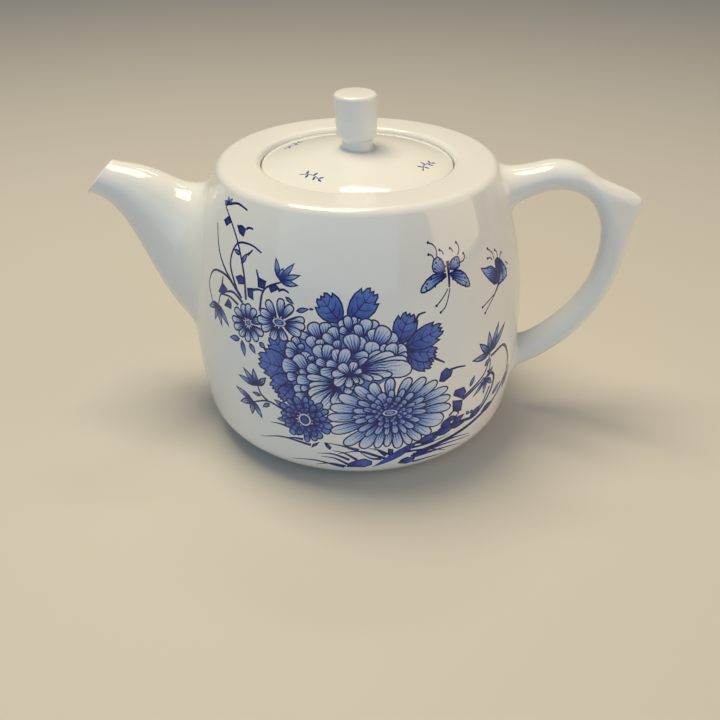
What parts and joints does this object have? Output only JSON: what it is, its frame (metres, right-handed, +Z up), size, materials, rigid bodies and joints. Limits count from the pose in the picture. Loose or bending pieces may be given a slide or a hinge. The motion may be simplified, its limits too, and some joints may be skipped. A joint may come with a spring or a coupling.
{
  "type": "teapot",
  "caption": "Lidded porcelain teapot: tapering barrel body, short broad spout over a pierced strainer, ear handle with a thumb spur, and a sunk lid with a cylindrical knob that lifts off.",
  "frame": {"origin": "centre of the foot ring, on the surface that the pot stands on", "axes": "+Z up along the axis of the body, +X towards the handle, -X towards the spout"},
  "size_m": [0.1445, 0.0884, 0.09],
  "materials": {
    "painted_glaze": "glossy clear glaze on white porcelain, painted under the glaze in cobalt blue",
    "white_glaze": "glossy clear glaze on white porcelain"
  },
  "bodies": {
    "pot": {"pot_body": "painted_glaze", "strainer": "white_glaze", "spout": "white_glaze", "handle": "white_glaze"},
    "lid": {"lid": "painted_glaze", "lid_knob": "white_glaze"}
  },
  "joints": [
    {"name": "lid_lift", "type": "slide", "parent": "pot", "child": "lid", "axis": [0, 0, 1], "range_m": [0, 0.06]}
  ]
}
